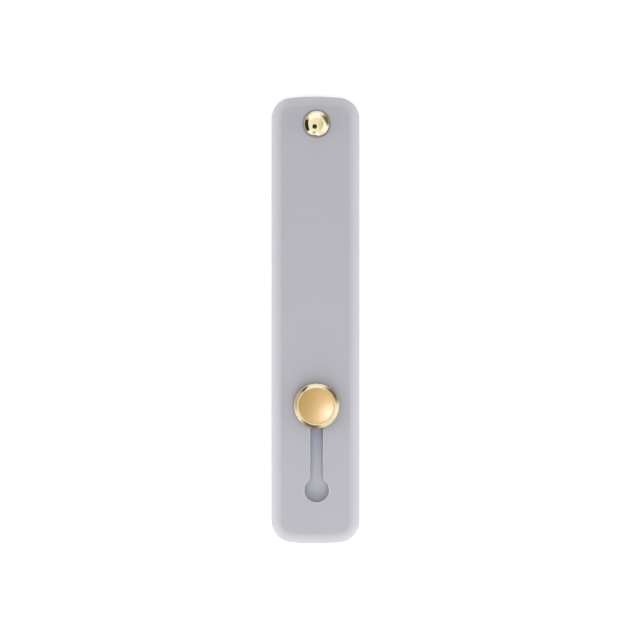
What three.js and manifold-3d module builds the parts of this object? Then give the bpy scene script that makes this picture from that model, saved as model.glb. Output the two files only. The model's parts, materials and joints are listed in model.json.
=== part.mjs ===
// Stick-on finger strap for the back of a phone.
// A silicone band lies on a silicone base strip of the same outline. A rivet holds the band's upper
// end. A button's neck runs in a keyhole slot near its lower end, so that the lower end can be pushed
// towards the rivet and the band bows out into a finger loop.
// Millimetres. The strap lies on its back: +X is its width, +Y points to the riveted end and +Z is
// the front. The origin is the centre of the back face.

import * as THREE from 'three';
import { mergeVertices } from 'three/addons/utils/BufferGeometryUtils.js';
import Module from 'manifold-3d';

// Outline shared by the band and the base strip
const strapWidth = 25;
const strapLength = 127.5;
const cornerRadius = 6;
const endCrownRadius = 71;

// Thickness of each layer, from the back to the front
const linerThickness = 0.15;
const padThickness = 0.8;
const baseThickness = 1.8;
const bandThickness = 2.2;

// The band's front edge rolls over in a quarter ellipse
const edgeRollWidth = 2.4;
const edgeRollDrop = 1.4;
// The base strip's edges are only broken
const baseEdgeBreak = 0.3;

// Foam tape and its liner
const padInset = 1.5;
const linerTabWidth = 9;
const linerTabReach = 1.2;

// Line that the rivet, the slot and the button are set on
const hardwareOffset = 0.35;
const rivetFromEnd = 7.85;
const eyeFromEnd = 15.35;
const slideTravel = 24;

// Rivet
const rivetCapDiameter = 7.2;
const rivetCapHeight = 1.7;
const rivetCapEdge = 0.35;
const rivetStemDiameter = 3;
const rivetStemRise = 0.9;
const rivetFlangeDiameter = 7;
const rivetFlangeThickness = 0.5;

// Button
const buttonDiameter = 13;
const buttonThickness = 2.6;
const buttonFaceDiameter = 10.9;
const buttonRimDrop = 1.1;
const buttonFootRadius = 0.4;
const buttonLift = 0.2;
const neckDiameter = 3.5;
const spigotDiameter = 2.2;
const spigotRise = 1.6;
const postFlangeDiameter = 9;
const postFlangeThickness = 0.6;

// Keyhole slot in the band
const eyeDiameter = 7;
const slotFlareRadius = 1.2;

// Clearances
const slotClearance = 0.1;
const holeClearance = 0.1;
const socketClearance = 0.05;
const socketFloorGap = 0.1;
const flangeClearance = 0.15;
const flangeSink = 0.1;

// How finely the outlines and the turned pieces are divided
const arcSteps = 10;
const turnSteps = 48;
const rollSteps = 6;
const smallRoundSteps = 3;
const cutOverrun = 1;

// Heights and places that follow from the sizes
const padBack = linerThickness;
const baseBack = padBack + padThickness;
const bandBack = baseBack + baseThickness;
const bandFace = bandBack + bandThickness;
const rivetY = strapLength / 2 - rivetFromEnd;
const eyeY = eyeFromEnd - strapLength / 2;
const buttonY = eyeY + slideTravel;
const slotWidth = neckDiameter + 2 * slotClearance;

const wasm = await Module();
wasm.setup();

// Materials
const silicone = { color: 0xb9b8be, roughness: 0.55, metalness: 0 };
const backSilicone = { color: 0xadaeb4, roughness: 0.6, metalness: 0 };
const foamTape = { color: 0xf1f0ea, roughness: 0.8, metalness: 0 };
const linerFilm = { color: 0xe9e4d4, roughness: 0.45, metalness: 0 };
const polishedGold = { color: 0xe9cf8e, roughness: 0.12, metalness: 1 };
const satinGold = { color: 0xdcbc80, roughness: 0.3, metalness: 1 };
const plainPost = { color: 0xc9b07a, roughness: 0.35, metalness: 1 };

// A closed three.js geometry as a solid that can be cut
function toSolid(geometry) {
  const bare = geometry.clone();
  bare.deleteAttribute('normal');
  bare.deleteAttribute('uv');
  const welded = mergeVertices(bare, 1e-5);
  const vertProperties = new Float32Array(welded.attributes.position.array);
  const triVerts = new Uint32Array(welded.index.array);
  return new wasm.Manifold(new wasm.Mesh({ numProp: 3, vertProperties, triVerts }));
}

// A cut solid as a three.js geometry again
function toGeometry(solid) {
  const mesh = solid.getMesh();
  const geometry = new THREE.BufferGeometry();
  geometry.setAttribute('position', new THREE.BufferAttribute(mesh.vertProperties, 3));
  geometry.setIndex(new THREE.BufferAttribute(mesh.triVerts, 1));
  geometry.computeVertexNormals();
  return geometry;
}

// Outline of the strap, drawn in by inset all round: straight sides, round corners, crowned ends
function strapOutline(inset) {
  const side = strapWidth / 2 - inset;
  const corner = cornerRadius - inset;
  const crown = endCrownRadius - inset;
  const crownY = strapLength / 2 - endCrownRadius;
  const cornerX = side - corner;
  const cornerY = crownY + Math.sqrt((crown - corner) ** 2 - cornerX ** 2);
  const meet = Math.atan2(cornerY - crownY, cornerX);
  const shape = new THREE.Shape();
  shape.moveTo(side, -cornerY);
  shape.lineTo(side, cornerY);
  shape.absarc(cornerX, cornerY, corner, 0, meet, false);
  shape.absarc(0, crownY, crown, meet, Math.PI - meet, false);
  shape.absarc(-cornerX, cornerY, corner, Math.PI - meet, Math.PI, false);
  shape.lineTo(-side, -cornerY);
  shape.absarc(-cornerX, -cornerY, corner, Math.PI, Math.PI + meet, false);
  shape.absarc(0, -crownY, crown, Math.PI + meet, 2 * Math.PI - meet, false);
  shape.absarc(cornerX, -cornerY, corner, 2 * Math.PI - meet, 2 * Math.PI, false);
  return shape;
}

// A flat layer between two heights
function layer(shape, back, front) {
  const geometry = new THREE.ExtrudeGeometry(shape, {
    depth: front - back,
    bevelEnabled: false,
    curveSegments: arcSteps,
  });
  geometry.translate(0, 0, back);
  return geometry;
}

// A layer of the strap's outline whose edges roll over at the front and at the back alike
function rolledLayer(back, front, rollWidth, rollDrop, steps) {
  const geometry = new THREE.ExtrudeGeometry(strapOutline(0), {
    depth: front - back - 2 * rollDrop,
    bevelEnabled: true,
    bevelThickness: rollDrop,
    bevelSize: rollWidth,
    bevelOffset: -rollWidth,
    bevelSegments: steps,
    curveSegments: arcSteps,
  });
  geometry.translate(0, 0, back + rollDrop);
  return geometry;
}

// A round cutter on the hardware line
function roundCutter(y, radius, back, front) {
  const geometry = new THREE.CylinderGeometry(radius, radius, front - back, turnSteps);
  geometry.rotateX(Math.PI / 2);
  geometry.translate(hardwareOffset, y, (back + front) / 2);
  return toSolid(geometry);
}

// Outline of the keyhole slot about the hardware line: a slot whose lower end flares into a round eye
function keyholeOutline() {
  const half = slotWidth / 2;
  const eye = eyeDiameter / 2;
  const flareX = half + slotFlareRadius;
  const flareY = eyeY + Math.sqrt((eye + slotFlareRadius) ** 2 - flareX ** 2);
  const flareTurn = Math.atan2(flareY - eyeY, flareX);
  const shape = new THREE.Shape();
  shape.moveTo(half, flareY);
  shape.lineTo(half, buttonY);
  shape.absarc(0, buttonY, half, 0, Math.PI, false);
  shape.lineTo(-half, flareY);
  shape.absarc(-flareX, flareY, slotFlareRadius, 0, -flareTurn, true);
  shape.absarc(0, eyeY, eye, Math.PI - flareTurn, 2 * Math.PI + flareTurn, false);
  shape.absarc(flareX, flareY, slotFlareRadius, Math.PI + flareTurn, Math.PI, true);
  return shape;
}

// A turned piece: a closed profile of [radius, height] points spun about the Z axis
function turned(profile, y) {
  const points = profile.map(([radius, height]) => new THREE.Vector2(radius, height));
  const geometry = new THREE.LatheGeometry(points, turnSteps);
  geometry.rotateX(Math.PI / 2);
  geometry.translate(hardwareOffset, y, 0);
  return geometry;
}

// Points of a quarter ellipse from an outer side point up to an inner top point
function quarterRound(outerRadius, innerRadius, sideHeight, topHeight, steps) {
  const points = [];
  for (let step = 0; step <= steps; step += 1) {
    const turn = (step / steps) * (Math.PI / 2);
    const radius = innerRadius + (outerRadius - innerRadius) * Math.cos(turn);
    points.push([radius, sideHeight + (topHeight - sideHeight) * Math.sin(turn)]);
  }
  return points;
}

const part = new THREE.Group();

function addPiece(name, geometry, look) {
  const mesh = new THREE.Mesh(geometry, new THREE.MeshStandardMaterial(look));
  mesh.name = name;
  part.add(mesh);
}

// Foam tape on the back of the base strip, set in from its edge
const padOutline = strapOutline(padInset);
addPiece('adhesive_pad', layer(padOutline, padBack, baseBack), foamTape);

// Release liner of the tape's outline, with a round-ended pull tab at the lower end
function linerGeometry() {
  const sheet = toSolid(layer(padOutline, 0, linerThickness));
  const padEnd = -(strapLength / 2 - padInset);
  const tabRadius = linerTabWidth / 2;
  const tabShape = new THREE.Shape();
  tabShape.absellipse(0, padEnd, tabRadius, linerTabReach, 0, 2 * Math.PI, false);
  const tab = toSolid(layer(tabShape, 0, linerThickness));
  return toGeometry(sheet.add(tab));
}
addPiece('release_liner', linerGeometry(), linerFilm);

// Base strip, with a counterbore and a hole for each post
function baseGeometry() {
  const blank = toSolid(rolledLayer(baseBack, bandBack, baseEdgeBreak, baseEdgeBreak, smallRoundSteps));
  const below = baseBack - cutOverrun;
  const above = bandBack + cutOverrun;
  const rivetSeat = baseBack + flangeSink + rivetFlangeThickness;
  const postSeat = baseBack + flangeSink + postFlangeThickness;
  const rivetBore = rivetFlangeDiameter / 2 + flangeClearance;
  const postBore = postFlangeDiameter / 2 + flangeClearance;
  return toGeometry(
    blank
      .subtract(roundCutter(rivetY, rivetBore, below, rivetSeat))
      .subtract(roundCutter(rivetY, rivetStemDiameter / 2 + holeClearance, below, above))
      .subtract(roundCutter(buttonY, postBore, below, postSeat))
      .subtract(roundCutter(buttonY, neckDiameter / 2 + holeClearance, below, above)),
  );
}
addPiece('base_strip', baseGeometry(), backSilicone);

// Front band: the rolled layer is made twice as deep and its back half is cut off
function bandGeometry() {
  const blankBack = bandBack - bandThickness;
  const blank = toSolid(rolledLayer(blankBack, bandFace, edgeRollWidth, edgeRollDrop, rollSteps));
  const backHalf = toSolid(layer(strapOutline(-cutOverrun), blankBack - cutOverrun, bandBack));
  const keyhole = layer(keyholeOutline(), bandBack - cutOverrun, bandFace + cutOverrun);
  keyhole.translate(hardwareOffset, 0, 0);
  const rivetHole = rivetStemDiameter / 2 + holeClearance;
  return toGeometry(
    blank
      .subtract(backHalf)
      .subtract(toSolid(keyhole))
      .subtract(roundCutter(rivetY, rivetHole, bandBack - cutOverrun, bandFace + cutOverrun)),
  );
}
addPiece('strap', bandGeometry(), silicone);

// Rivet post: a flange in the base strip's counterbore and a stem through both layers
const rivetFlangeBack = baseBack + flangeSink;
const rivetStemTop = bandFace + rivetStemRise;
addPiece(
  'rivet_post',
  turned(
    [
      [0, rivetFlangeBack],
      [rivetFlangeDiameter / 2, rivetFlangeBack],
      [rivetFlangeDiameter / 2, rivetFlangeBack + rivetFlangeThickness],
      [rivetStemDiameter / 2, rivetFlangeBack + rivetFlangeThickness],
      [rivetStemDiameter / 2, rivetStemTop],
      [0, rivetStemTop],
    ],
    rivetY,
  ),
  plainPost,
);

// Rivet cap: a dome pressed on the stem, seated on the band
function rivetCapProfile() {
  const rim = rivetCapDiameter / 2;
  const domeBase = bandFace + rivetCapEdge;
  const domeRise = rivetCapHeight - rivetCapEdge;
  const domeRadius = (rim ** 2 + domeRise ** 2) / (2 * domeRise);
  const domeCentre = domeBase + domeRise - domeRadius;
  const halfAngle = Math.asin(rim / domeRadius);
  const socket = rivetStemDiameter / 2 + socketClearance;
  const profile = [
    [0, rivetStemTop + socketFloorGap],
    [socket, rivetStemTop + socketFloorGap],
    [socket, bandFace],
    [rim, bandFace],
  ];
  for (let step = 0; step <= rollSteps; step += 1) {
    const lean = halfAngle * (1 - step / rollSteps);
    profile.push([domeRadius * Math.sin(lean), domeCentre + domeRadius * Math.cos(lean)]);
  }
  return profile;
}
addPiece('rivet_cap', turned(rivetCapProfile(), rivetY), polishedGold);

// Button post: a flange in its counterbore, the neck that runs in the slot and a spigot
const postFlangeBack = baseBack + flangeSink;
const buttonBack = bandFace + buttonLift;
const spigotTop = buttonBack + spigotRise;
addPiece(
  'button_post',
  turned(
    [
      [0, postFlangeBack],
      [postFlangeDiameter / 2, postFlangeBack],
      [postFlangeDiameter / 2, postFlangeBack + postFlangeThickness],
      [neckDiameter / 2, postFlangeBack + postFlangeThickness],
      [neckDiameter / 2, buttonBack],
      [spigotDiameter / 2, buttonBack],
      [spigotDiameter / 2, spigotTop],
      [0, spigotTop],
    ],
    buttonY,
  ),
  plainPost,
);

// Button cap: a round foot, an upright side, a rounded rim and a flat face, with a blind socket
function buttonCapProfile() {
  const side = buttonDiameter / 2;
  const front = buttonBack + buttonThickness;
  const socket = spigotDiameter / 2 + socketClearance;
  const footInner = side - buttonFootRadius;
  const footTop = buttonBack + buttonFootRadius;
  const foot = quarterRound(side, footInner, footTop, buttonBack, smallRoundSteps).reverse();
  const rim = quarterRound(side, buttonFaceDiameter / 2, front - buttonRimDrop, front, rollSteps);
  return [
    [0, spigotTop + socketFloorGap],
    [socket, spigotTop + socketFloorGap],
    [socket, buttonBack],
    ...foot,
    ...rim,
    [0, front],
  ];
}
addPiece('button_cap', turned(buttonCapProfile(), buttonY), satinGold);

export default part;
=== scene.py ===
# %% [markdown]
# # A stick-on finger strap for a phone
# The real thing is a flat silicone band, 25 mm wide and 127.5 mm long, that lies on a silicone base
# strip. A small gold rivet holds its upper end. A gold button stands in a keyhole slot near its lower
# end, so the lower end can be pushed up and the band bows out into a loop for a finger.
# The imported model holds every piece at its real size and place. This lesson gives it its looks: each
# visible piece is modelled again, finely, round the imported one, and every surface gets its finish.

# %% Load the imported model
import json
import math

import bmesh
import bpy
import numpy as np
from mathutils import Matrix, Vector

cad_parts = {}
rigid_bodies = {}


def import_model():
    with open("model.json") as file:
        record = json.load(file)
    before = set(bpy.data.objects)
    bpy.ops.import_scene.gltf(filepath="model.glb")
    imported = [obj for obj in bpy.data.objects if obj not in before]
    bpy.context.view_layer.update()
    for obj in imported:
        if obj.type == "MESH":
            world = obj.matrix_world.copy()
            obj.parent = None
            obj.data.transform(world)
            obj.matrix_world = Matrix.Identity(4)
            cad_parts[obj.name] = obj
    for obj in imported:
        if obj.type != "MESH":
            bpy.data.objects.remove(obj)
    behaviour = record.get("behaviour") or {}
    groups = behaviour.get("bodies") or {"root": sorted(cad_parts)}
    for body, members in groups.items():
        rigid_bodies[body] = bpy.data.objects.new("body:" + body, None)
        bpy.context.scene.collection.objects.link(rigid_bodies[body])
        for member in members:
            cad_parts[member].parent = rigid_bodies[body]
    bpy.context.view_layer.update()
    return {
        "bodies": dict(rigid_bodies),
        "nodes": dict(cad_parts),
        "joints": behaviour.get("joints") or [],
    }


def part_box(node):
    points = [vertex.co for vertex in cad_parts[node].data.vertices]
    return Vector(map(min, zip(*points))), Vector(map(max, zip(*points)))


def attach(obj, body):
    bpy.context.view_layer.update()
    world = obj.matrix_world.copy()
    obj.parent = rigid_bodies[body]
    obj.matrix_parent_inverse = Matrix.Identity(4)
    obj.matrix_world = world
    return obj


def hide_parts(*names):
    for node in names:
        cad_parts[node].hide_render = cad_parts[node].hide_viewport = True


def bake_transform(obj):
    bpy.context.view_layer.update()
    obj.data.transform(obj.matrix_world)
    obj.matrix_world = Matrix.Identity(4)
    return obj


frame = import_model()

# %% [markdown]
# ## Sizes
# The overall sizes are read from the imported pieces, so that a change there carries over. Blender works
# in metres; MM turns the sizes that a maker would quote in millimetres into metres.

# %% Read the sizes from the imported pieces
MM = 0.001
band_low, band_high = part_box("strap")
base_low, base_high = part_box("base_strip")
pad_low, pad_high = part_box("adhesive_pad")
liner_low, liner_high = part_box("release_liner")
rivet_low, rivet_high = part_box("rivet_cap")
button_low, button_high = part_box("button_cap")
rivet_stem_low, rivet_stem_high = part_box("rivet_post")
button_post_low, button_post_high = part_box("button_post")

WIDTH = band_high.x - band_low.x
LENGTH = band_high.y - band_low.y
LINE_X = (rivet_low.x + rivet_high.x) / 2
RIVET_Y = (rivet_low.y + rivet_high.y) / 2
BUTTON_Y = (button_low.y + button_high.y) / 2
TRAVEL = frame["joints"][0]["range_m"][1]
EYE_Y = BUTTON_Y - TRAVEL
print(f"band {WIDTH / MM:.1f} by {LENGTH / MM:.1f} mm, slide {TRAVEL / MM:.1f} mm")

# %% [markdown]
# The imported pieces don't say how round a corner or an edge is, so those sizes are set here. They are
# the ones that the band, the base strip, the tape and the liner share.

# %% Set the sizes of the outline, the edges and the slot
CORNER_RADIUS = 6 * MM
CROWN_RADIUS = 71 * MM
CORNER_STEPS = 14
CROWN_STEPS = 12
NOSE_RADIUS = 0.35 * MM
ROLL_WIDTH = 2.8 * MM
ROLL_DROP = 1.25 * MM
ROLL_STEPS = 10
BACK_EDGE_ROUND = 0.25 * MM
SLOT_WIDTH = 3.7 * MM
EYE_RADIUS = 3.5 * MM
FLARE_RADIUS = 1.2 * MM
RIM_ROUND = 0.26 * MM
STEM_RADIUS = 1.5 * MM
SPIGOT_RADIUS = 1.1 * MM
RIVET_FLANGE_THICKNESS = 0.5 * MM
BUTTON_FLANGE_THICKNESS = 0.6 * MM
TINY = 0.001 * MM

# %% [markdown]
# ## Drawing by hand, in code
# Every outline here is drawn as a modeller would draw it: start from one vertex, extrude it along the
# straight stretches and spin it round the arcs. A spin keeps an arc exact, and the centre and turn are
# the ones a drawing would give. Blender's spin turns clockwise for a positive angle, so the helper
# changes the sign and the numbers below read in the usual sense.

# %% Helpers to start, draw and close an outline
def clear_selection():
    if bpy.context.object and bpy.context.object.mode == "EDIT":
        bpy.ops.object.mode_set(mode="OBJECT")
    bpy.ops.object.select_all(action="DESELECT")


def start_outline(name, place):
    clear_selection()
    bpy.ops.mesh.primitive_plane_add(size=MM, location=(0, 0, 0))
    piece = bpy.context.object
    piece.name = piece.data.name = name
    bpy.ops.object.mode_set(mode="EDIT")
    bpy.ops.mesh.select_mode(type="VERT")
    bpy.ops.mesh.select_all(action="SELECT")
    bpy.ops.mesh.merge(type="CENTER")
    bpy.ops.mesh.select_all(action="SELECT")
    bpy.ops.transform.translate(value=place)
    return piece


def draw_line(move):
    bpy.ops.mesh.extrude_region_move(TRANSFORM_OT_translate={"value": move})


def draw_arc(centre, turn, steps, axis=(0, 0, 1)):
    bpy.ops.mesh.spin(steps=steps, angle=-turn, center=centre, axis=axis)


def close_outline():
    bpy.ops.mesh.select_all(action="SELECT")
    bpy.ops.mesh.remove_doubles(threshold=TINY)
    bpy.ops.mesh.edge_face_add()
    if bmesh.from_edit_mesh(bpy.context.object.data).faces[:][0].normal.z < 0:
        bpy.ops.mesh.flip_normals()


# %% [markdown]
# ## The strap's outline
# The sides are straight, the corners are 6 mm arcs, and the ends are faintly crowned arcs of 71 mm.
# Each corner arc touches its side and its end without a kink, so its centre follows from the three
# radii. The band, the base strip, the tape and the liner share this outline, drawn in by an inset.

# %% Draw the strap's outline
def draw_strap_outline(name, inset, height):
    side = WIDTH / 2 - inset
    corner = CORNER_RADIUS - inset
    crown = CROWN_RADIUS - inset
    crown_y = LENGTH / 2 - CROWN_RADIUS
    corner_x = side - corner
    corner_y = crown_y + math.sqrt((crown - corner) ** 2 - corner_x**2)
    meet = math.atan2(corner_y - crown_y, corner_x)
    piece = start_outline(name, (side, -corner_y, height))
    draw_line((0, 2 * corner_y, 0))
    draw_arc((corner_x, corner_y, height), meet, CORNER_STEPS)
    draw_arc((0, crown_y, height), math.pi - 2 * meet, CROWN_STEPS)
    draw_arc((-corner_x, corner_y, height), meet, CORNER_STEPS)
    draw_line((0, -2 * corner_y, 0))
    draw_arc((-corner_x, -corner_y, height), meet, CORNER_STEPS)
    draw_arc((0, -crown_y, height), math.pi - 2 * meet, CROWN_STEPS)
    draw_arc((corner_x, -corner_y, height), meet, CORNER_STEPS)
    close_outline()
    return piece


# %% [markdown]
# ## Rolled edges
# The band's front edge starts with a small round nose and then rises to the flat face along a shallow
# curve, just under 3 mm wide: that pillow edge is what the light catches all round the strap. A bevel
# could round it, but a bevel is as wide as it is deep. Insetting the front face again and again, each
# time with a little lift, follows any section.

# %% Raise a layer and roll its front edge
def round_steps(radius, steps, end_slope=0.0):
    """Runs and lifts of a round that starts upright and ends at a slope, in radians."""
    upright = math.pi / 2
    slopes = [upright + (end_slope - upright) * step / steps for step in range(steps + 1)]
    pairs = []
    for a, b in zip(slopes, slopes[1:]):
        run, lift = math.sin(a) - math.sin(b), math.cos(b) - math.cos(a)
        pairs.append((radius * run, radius * lift))
    return pairs


def shallow_steps(width, drop, steps):
    """Runs and lifts of a parabola that ends level."""
    left = [1 - step / steps for step in range(steps + 1)]
    return [(width * (a - b), drop * (a * a - b * b)) for a, b in zip(left, left[1:])]


def raise_rolled(height, roll):
    draw_line((0, 0, height - sum(lift for run, lift in roll)))
    for run, lift in roll:
        bpy.ops.mesh.inset(thickness=run, depth=lift, use_even_offset=True)


NOSE_STEPS = 4
nose_slope = math.atan(2 * ROLL_DROP / ROLL_WIDTH)
BAND_ROLL = [
    *round_steps(NOSE_RADIUS, NOSE_STEPS, nose_slope),
    *shallow_steps(ROLL_WIDTH, ROLL_DROP, ROLL_STEPS),
]
roll_run = sum(run for run, lift in BAND_ROLL)
roll_drop = sum(lift for run, lift in BAND_ROLL)
print(f"rolled edge {roll_run / MM:.2f} mm wide and {roll_drop / MM:.2f} mm deep")

# %% [markdown]
# The edge at the back of a layer is only broken, by a small bevel. Each piece ends with its normals
# turned outwards, smooth shading up to a crease angle, and a line that says how many faces and open
# edges it has. A closed solid has no open edges and a volume above zero.

# %% Round a back edge and finish a piece
def round_back_edge(back, radius):
    """Rounds the lowest edge loop of the piece in edit mode."""
    mesh = bmesh.from_edit_mesh(bpy.context.object.data)
    for edge in mesh.edges:
        edge.select_set(all(abs(v.co.z - back) < TINY for v in edge.verts))
    bmesh.update_edit_mesh(bpy.context.object.data)
    bpy.ops.mesh.select_mode(type="EDGE")
    bpy.ops.mesh.bevel(offset=radius, segments=3, affect="EDGES")


def finish_shape(piece, smooth_angle=40):
    bpy.ops.object.mode_set(mode="EDIT")
    bpy.ops.mesh.select_all(action="SELECT")
    bpy.ops.mesh.normals_make_consistent(inside=False)
    bpy.ops.object.mode_set(mode="OBJECT")
    bpy.ops.object.shade_smooth_by_angle(angle=math.radians(smooth_angle))
    mesh = bmesh.new()
    mesh.from_mesh(piece.data)
    open_edges = sum(not edge.is_manifold for edge in mesh.edges)
    volume = mesh.calc_volume(signed=True) / MM**3
    mesh.free()
    size = " x ".join(f"{d / MM:.2f}" for d in piece.dimensions)
    print(f"{piece.name}: {len(piece.data.polygons)} faces, {open_edges} open edges, {size} mm,",
          f"{volume:.0f} cubic mm")


# %% [markdown]
# ## Cutting
# Holes are cut with the Boolean modifier, applied at once, by a cutter that is deleted afterwards. A
# knife along the face would do for a flat sheet, but a cutter goes clean through a thick piece. Both
# solids need their normals outwards first, or the cut turns into its opposite.

# %% Cut one piece with another
def pick(piece):
    clear_selection()
    bpy.context.view_layer.objects.active = piece
    piece.select_set(True)


def face_outwards(piece):
    pick(piece)
    bpy.ops.object.mode_set(mode="EDIT")
    bpy.ops.mesh.select_all(action="SELECT")
    bpy.ops.mesh.normals_make_consistent(inside=False)
    bpy.ops.object.mode_set(mode="OBJECT")


def cut(piece, cutter, operation="DIFFERENCE"):
    face_outwards(cutter)
    face_outwards(piece)
    knife = piece.modifiers.new("cut", "BOOLEAN")
    knife.operation = operation
    knife.solver = "EXACT"
    knife.object = cutter
    bpy.ops.object.modifier_apply(modifier=knife.name)
    bpy.data.objects.remove(cutter)


def make_drill(radius, y, low, high):
    clear_selection()
    bpy.ops.mesh.primitive_cylinder_add(
        vertices=64, radius=radius, depth=high - low, location=(LINE_X, y, (low + high) / 2)
    )
    return bpy.context.object


# %% [markdown]
# ## Turned metal
# The rivet's dome and the button are turned parts, so each is drawn as half a section and spun once
# round its own axis. The section runs from the axis underneath to the axis on top.

# %% Helper for turned pieces
TURN_STEPS = 96


def turn_section(name, y, section):
    """Spins a list of (radius, height) points, in metres, round the upright axis at y."""
    radius, height = section[0]
    piece = start_outline(name, (LINE_X + radius, y, height))
    for (r0, h0), (r1, h1) in zip(section, section[1:]):
        draw_line((r1 - r0, 0, h1 - h0))
    bpy.ops.mesh.select_all(action="SELECT")
    draw_arc((LINE_X, y, 0), 2 * math.pi, TURN_STEPS)
    bpy.ops.mesh.select_all(action="SELECT")
    bpy.ops.mesh.remove_doubles(threshold=TINY)
    return piece


def arc_points(centre, radius, start, end, steps):
    """Points of an arc in the section, from one angle to another, in degrees from the level."""
    points = []
    for step in range(steps + 1):
        turn = math.radians(start + (end - start) * step / steps)
        points.append((centre[0] + radius * math.cos(turn), centre[1] + radius * math.sin(turn)))
    return points


# %% [markdown]
# ## The front band
# One moulding: a flat band with the rolled front edge, a rivet hole at the top, and the keyhole slot, a
# 3.7 mm slot whose lower end flares into a 7 mm eye. The slot's cutter is drawn like the outline, with
# the two small flares as arcs that bend the other way, and its rim is then broken by a bevel.

# %% Model the band and its keyhole
CUT_SPARE = 1 * MM


def draw_keyhole(height):
    half = SLOT_WIDTH / 2
    flare_x = half + FLARE_RADIUS
    flare_y = EYE_Y + math.sqrt((EYE_RADIUS + FLARE_RADIUS) ** 2 - flare_x**2)
    flare_turn = math.atan2(flare_y - EYE_Y, flare_x)
    cutter = start_outline("keyhole_cutter", (LINE_X + half, flare_y, height))
    draw_line((0, BUTTON_Y - flare_y, 0))
    draw_arc((LINE_X, BUTTON_Y, height), math.pi, 24)
    draw_line((0, flare_y - BUTTON_Y, 0))
    draw_arc((LINE_X - flare_x, flare_y, height), -flare_turn, 6)
    draw_arc((LINE_X, EYE_Y, height), math.pi + 2 * flare_turn, 48)
    draw_arc((LINE_X + flare_x, flare_y, height), -flare_turn, 6)
    close_outline()
    return cutter


BAND_BACK, BAND_FACE = band_low.z, band_high.z
band = draw_strap_outline("band", 0, BAND_BACK)
raise_rolled(BAND_FACE - BAND_BACK, BAND_ROLL)
round_back_edge(BAND_BACK, BACK_EDGE_ROUND)
keyhole = draw_keyhole(BAND_BACK - CUT_SPARE)
draw_line((0, 0, BAND_FACE - BAND_BACK + 2 * CUT_SPARE))
cut(band, keyhole)
RIVET_HOLE_RADIUS = 1.6 * MM
cut(band, make_drill(RIVET_HOLE_RADIUS, RIVET_Y, BAND_BACK - CUT_SPARE, BAND_FACE + CUT_SPARE))

# %% [markdown]
# The rivet pulls the soft band in, so a shallow ring-shaped dip runs round its dome. Moving the band's
# points would need many more of them there, so the dip is cut with a turned ring whose underside is
# an easy curve, deepest right at the dome.

# %% Press the dip round the rivet
DIP_DEPTH = 0.3 * MM
DIP_WIDTH = 0.5 * MM
rivet_rim = (rivet_high.x - rivet_low.x) / 2
DIP_UNDER_DOME = 0.2 * MM
dip_inner = rivet_rim - DIP_UNDER_DOME
dip_turns = np.linspace(0, math.pi / 2, 9)
dip_section = [
    (dip_inner, BAND_FACE + CUT_SPARE),
    (dip_inner, BAND_FACE - DIP_DEPTH),
    *[
        (rivet_rim + DIP_WIDTH * math.sin(turn), BAND_FACE - DIP_DEPTH * (1 + math.cos(2 * turn)) / 2)
        for turn in dip_turns
    ],
    (rivet_rim + DIP_WIDTH, BAND_FACE + CUT_SPARE),
]
dip_cutter = turn_section("dip_cutter", RIVET_Y, dip_section + dip_section[:1])
bpy.ops.object.mode_set(mode="OBJECT")
cut(band, dip_cutter)

# %% [markdown]
# A moulded slot has no sharp rim: a small round catches a thin line of light along it. A bevel on the
# rim's edges makes it. They are picked as the edges at the height of the face that touch one wall.

# %% Round the rim of the keyhole
def select_rim_edges(mesh, height, low_y, high_y):
    """Edges between the front face and a wall of a hole, picked by their height and their normals."""
    for edge in mesh.edges:
        at_height = all(abs(v.co.z - height) < TINY for v in edge.verts)
        in_reach = all(low_y < v.co.y < high_y for v in edge.verts)
        wall = sum(abs(face.normal.z) < 0.1 for face in edge.link_faces)
        edge.select_set(at_height and in_reach and wall == 1)


clear_selection()
bpy.context.view_layer.objects.active = band
bpy.ops.object.mode_set(mode="EDIT")
bpy.ops.mesh.select_mode(type="EDGE")
rim_mesh = bmesh.from_edit_mesh(band.data)
select_rim_edges(rim_mesh, BAND_FACE, EYE_Y - EYE_RADIUS - CUT_SPARE, BUTTON_Y + SLOT_WIDTH)
bmesh.update_edit_mesh(band.data)
bpy.ops.mesh.bevel(offset=RIM_ROUND, segments=4, affect="EDGES")
bpy.ops.object.mode_set(mode="OBJECT")
print("band with its keyhole:", len(band.data.polygons), "faces")

# %% [markdown]
# ## Cuts across the band
# A flat band needs few faces, but this one bends into a loop, so it is bisected across every 1.25 mm,
# and lengthwise every 2 mm to keep the faces near square. The shape stays exactly as it was.

# %% Bisect the band
def bisect_along(axis, low, high, spacing):
    """Slices the piece in edit mode at even steps along an axis, without removing anything."""
    steps = max(1, round((high - low) / spacing))
    normal = Vector((0, 0, 0))
    normal[axis] = 1
    for step in range(1, steps):
        place = Vector((0, 0, 0))
        place[axis] = low + (high - low) * step / steps
        bpy.ops.mesh.select_all(action="SELECT")
        bpy.ops.mesh.bisect(plane_co=place, plane_no=normal)


bpy.ops.object.mode_set(mode="EDIT")
bpy.ops.mesh.select_mode(type="VERT")
SLICE_ACROSS = 1.25 * MM
SLICE_LENGTHWISE = 2 * MM
bisect_along(1, band_low.y, band_high.y, SLICE_ACROSS)
bisect_along(0, band_low.x + roll_run, band_high.x - roll_run, SLICE_LENGTHWISE)
finish_shape(band)

# %% [markdown]
# ## The base strip
# The same outline under the band, with its edges just broken. Its front face is the floor that shows
# through the slot. From the back it is bored for the flange and the neck of each post, a little wider
# than they are, so that no two surfaces lie in the same place.

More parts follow.
